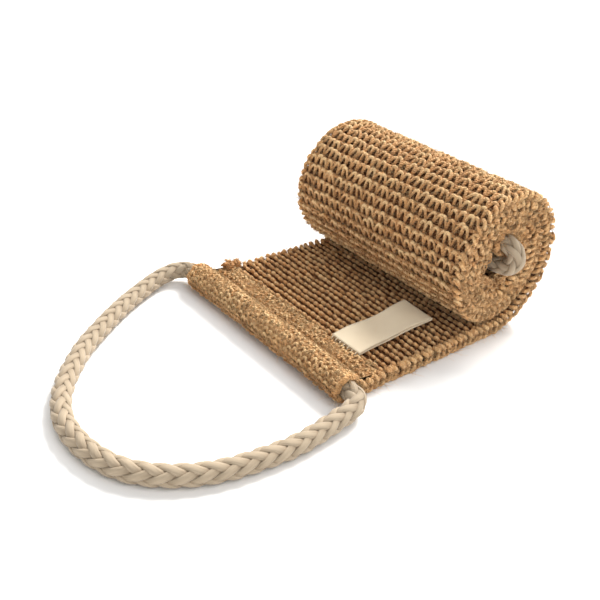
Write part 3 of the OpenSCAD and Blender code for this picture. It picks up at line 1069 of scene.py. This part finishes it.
def make_hem(name, hem, body, hairs, groove=math.inf, web=None):
    """A hem's core, and its yarn and hairs. groove is where its sewing sinks in, along its
    outline, and web is the stretch of the band behind it, if its edges show."""
    starts = np.arange(0.9, hem.length - 0.5, HEM_FACE.row)
    starts = starts[np.abs(starts - groove) > GROOVE_CLEAR]

    def place(s, v, h):
        lumps = 0.22 * np.sin(v / 3.1 + 2 * np.sin(s / 2.7)) + 0.18 * np.sin(v / 7.3 + s / 4.1)
        return hem.place(s, v, h - 0.2 + lumps)

    # Painted shade: rows on the side on the table get a lower tone and less pale straw tint than
    # the upper side.
    upper = hem.local(starts, 0)[1] > -1
    groups = []
    for rows, tint, shade in ((starts[upper], 0.8, 0.0), (starts[~upper], 0.2, -0.28)):
        groups.append(knit_rows(HEM_FACE, rows, np.arange(len(rows)), place, hem.normal,
                                tint=tint, flat=0.72, shade=shade))
    fluff = join_tubes(name + "_fluff", [hem_hairs(hem, hairs, groove)], JUTE)
    turn = np.linspace(0, 6.2, 24)
    for side in (-1, 1):
        groups += channel_rims(hem, side)
        rim = hem.world(4.9 * np.cos(turn), side * 49.3, 4.9 * np.sin(turn))
        groups.append(point_fibres(rim, 0.4, side, 260))
        if web:
            low, high = web
            groups += edge_stitches(low, high, side)
            groups.append(edge_fibres(low, high, side, per_mm=8))
            groups.append(edge_curls(low - 2, high, side, per_mm=2))
    core = hem_core(name + "_core", hem)
    yarn = join_tubes(name + "_knit", groups, JUTE)
    for piece in (core, yarn, fluff):
        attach(piece, body)
    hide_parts(name)
    return core, [yarn, fluff]


def hem_threads(name, place, along, body, cad_node):
    """Sewing: one thread that comes up for each stitch and goes deep between them, darker there as
    painted shade.
    """
    def sewn(v, h):
        s = along + 0.15 * np.sin(v / 2.3)
        return place(s, v, h)

    v = np.linspace(-45.5, 45.5, 420)
    up = np.clip(1.6 * np.cos(TURN * v / STITCH_PITCH) + 0.35, -1, 1)
    h = -0.45 + 0.75 * up
    path = sewn(v, h)[None]
    out = sewn(v, h + 1)[None] - path
    thread = tubes(path, out, half_wide=0.55, half_thick=0.45, sides=8, tone=0.4 * up - 0.1,
                   tint=0.3)
    # Short dark tubes are painted shade in the needle's holes, one at each end of each stitch.
    holes = (np.arange(27) - 13) * STITCH_PITCH / 2 + STITCH_PITCH / 4
    v = holes[:, None] + np.linspace(-0.75, 0.75, 6)
    h = -0.35 - 0.3 * np.linspace(-1, 1, 6) ** 2 + 0 * v
    path = sewn(v, h)
    out = place(along + 0 * v, v, h + 1) - path
    hole_shade = tubes(path, out, half_wide=0.75, half_thick=0.4, sides=8, columns=4, tone=-0.7,
                 tint=0.0)
    piece = join_tubes(name, [thread, hole_shade], JUTE)
    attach(piece, body)
    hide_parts(cad_node)


# The thread that binds the two ends of a rope: its coil's radius, length and turns.
WHIPPING_R = 3.72
WHIPPING_LEN = 16.0
WHIPPING_TURNS = 22
# Half the gap between the two ends.
BUTT_GAP = 0.3


def rope_in_channel(name, middle, shift, body, cad_nodes):
    """The rope's two ends inside the channel, bound together where they meet."""
    groups = []
    for side in (-1, 1):
        y = np.linspace(side * CHANNEL_REACH, side * BUTT_GAP, 58)
        line = np.stack([0 * y + middle[0], y + shift, 0 * y + middle[1]], -1)
        groups.append(braid(line))
    ends = join_tubes(name + "_braid", groups, ROPE)
    t = np.linspace(0, WHIPPING_TURNS * TURN, WHIPPING_TURNS * 16)
    out = np.stack([np.cos(t), 0 * t, np.sin(t)], -1)
    coil = WHIPPING_R * out + [middle[0], shift, middle[1]]
    coil[:, 1] += WHIPPING_LEN * (t / t[-1] - 0.5)
    turns = tubes(coil[None], out[None], half_wide=0.36, half_thick=0.3, tone=0.6)
    thread = join_tubes(name + "_thread", [turns], THREAD)
    for piece, cad_node in zip((ends, thread), cad_nodes):
        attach(piece, body)
        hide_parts(cad_node)


def make_hems():
    front = Hem(FRONT_OUTLINE, (CHANNEL_X, CHANNEL_Z), 0.0, over=1)
    # The sewing is on the part of the outline that comes before the channel.
    groove = float(front.at[np.argmin(np.abs(front.line[:60, 0] - GROOVE_X))])
    core, yarn = make_hem("hem_front", front, "flat_band", 4200, groove, (WEB_START, SEAM_X))
    back = Hem(BACK_OUTLINE, (BACK_CHANNEL_X, BACK_CHANNEL_Z), DRIFT, over=-1)
    core, yarn = make_hem("hem_back", back, "roll_20", 500)
    hem_threads("hem_front_sewing", front.place, groove, "flat_band", "hem_front_stitches")
    stitch_u = ARC_ENDS[ARC_COUNT - 1]
    hem_threads("hem_back_sewing", band_place(1), stitch_u, "roll_19", "hem_back_stitches")
    rope_in_channel("rope_ends_front", (CHANNEL_X, CHANNEL_Z), 0.0, "front_handle",
                    ("rope_ends_front", "rope_whipping_front"))
    rope_in_channel("rope_ends_back", (BACK_CHANNEL_X, BACK_CHANNEL_Z), DRIFT, "back_handle",
                    ("rope_ends_back", "rope_whipping_back"))


# ---------------------------------------------------------------- knot and label
# Two knots side by side, each with its middle and size.
KNOTS = [((-24.2, 47.2, 8.4), 0.74), ((-19.8, 47.6, 8.0), 0.58)]
# The yarn's ends, each with its direction and where it starts.
TAILS = [((-1, 0.4, 0.15), (-25, 48, 8.4)), ((0.7, 0.9, 0.3), (-18.6, 48.3, 8)),
         ((-0.3, 1, 0.5), (-23, 48.6, 8.8))]
TAIL_LEN = 2.6
KNOT_YARN_R = 0.85
TAIL_R = 0.45
LABEL_LEN = 41.0
LABEL_W = 16.0
LABEL_X = SEAM_X + 1.5
LABEL_Y = -21.0
TAPE_T = 0.5


def make_knot():
    """The lump on the far edge where a yarn is tied off."""
    t = np.linspace(0, TURN, 90)
    trefoil = np.stack([np.sin(t) + 2 * np.sin(2 * t), np.cos(t) - 2 * np.cos(2 * t),
                        -1.2 * np.sin(3 * t)], -1)
    groups = []
    for centre, size in KNOTS:
        groups.append(tubes((trefoil * size + centre)[None], np.array([0.2, 0.3, 1.0]),
                            KNOT_YARN_R, KNOT_YARN_R, sides=8, tone=0.25, tint=0.1))
        groups.append(point_fibres(np.array([centre]), 1.3, 1, 70))
    s = np.linspace(0, TAIL_LEN, 12)[:, None]
    droop = np.array([0, 0, -0.11]) * s ** 2
    for way, start in TAILS:
        tail = np.array(start) + s * unit(np.array(way, float)) + droop
        groups.append(tubes(tail[None], np.array([0, 0.1, 1.0]), TAIL_R, TAIL_R, tone=0.5,
                            tint=0.3))
    piece = join_tubes("edge_knot_yarn", groups, JUTE)
    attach(piece, "flat_band")
    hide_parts("edge_knot")


def label_middle(s, across):
    """The height of the middle of the folded label above the table."""
    part = s / LABEL_LEN
    rise = 2 * HALF_T + 1.0 + 3.0 * part ** 1.5
    wave = 1.1 * np.sin(part * math.pi * 1.1) * across ** 2 + 0.35 * np.sin(part * 9 + across * 2)
    return rise + wave * np.clip(part * 6, 0, 1)


def make_label():
    """A strip of tape that goes out to its fold and back on top of itself, and its stitches."""
    run = np.linspace(0, LABEL_LEN, 42)
    gap = TAPE_T + 0.25
    fold = np.linspace(-math.pi / 2, math.pi / 2, 7)[1:-1]
    s = np.concatenate([run, LABEL_LEN + 0.4 * np.cos(fold), run[::-1]])
    lift = np.concatenate([0 * run - gap / 2, gap / 2 * np.sin(fold), 0 * run + gap / 2])
    # The two layers gape a little towards the fold.
    lift = lift * (1 + 0.8 * np.sin(np.clip(s / LABEL_LEN, 0, 1) * math.pi))
    across = np.linspace(0, 1, 15)
    line = np.stack([s, lift], -1)
    slope = unit(np.gradient(line, axis=0))
    out = np.stack([slope[:, 1], -slope[:, 0]], -1)
    skins = []
    for half in (TAPE_T / 2, -TAPE_T / 2):
        x, z = (line + out * half).T[:, :, None]
        y = LABEL_Y - across * LABEL_W + 0.25 * np.sin(x / 5)
        height = label_middle(np.maximum(x, 0), across) + z
        skins.append(np.stack(np.broadcast_arrays(LABEL_X + x, y, height), -1))
    piece = plain_mesh("label_cloth", *two_sided(skins), TAPE, "cotton_tape")
    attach(piece, "label_tape")
    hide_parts("label")
    count = 7
    t = np.linspace(-1, 1, 9)
    x = LABEL_X - 0.7 + 0.9 * t
    y = LABEL_Y - LABEL_W * (np.arange(count)[:, None] + 0.5) / count + 0.3 * t
    z = 2 * HALF_T + 1.35 - 0.9 * t ** 4
    path = np.stack(np.broadcast_arrays(x, y, z), -1)
    thread = tubes(path, np.array([0, 0, 1.0]), half_wide=0.2, half_thick=0.18, columns=3,
                   tone=0.6)
    stitches = join_tubes("label_thread", [thread], THREAD)
    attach(stitches, "flat_band")
    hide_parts("label_stitches")


place_camera()
make_ropes()
lights_and_floor()
make_band()
make_hems()
make_knot()
make_label()
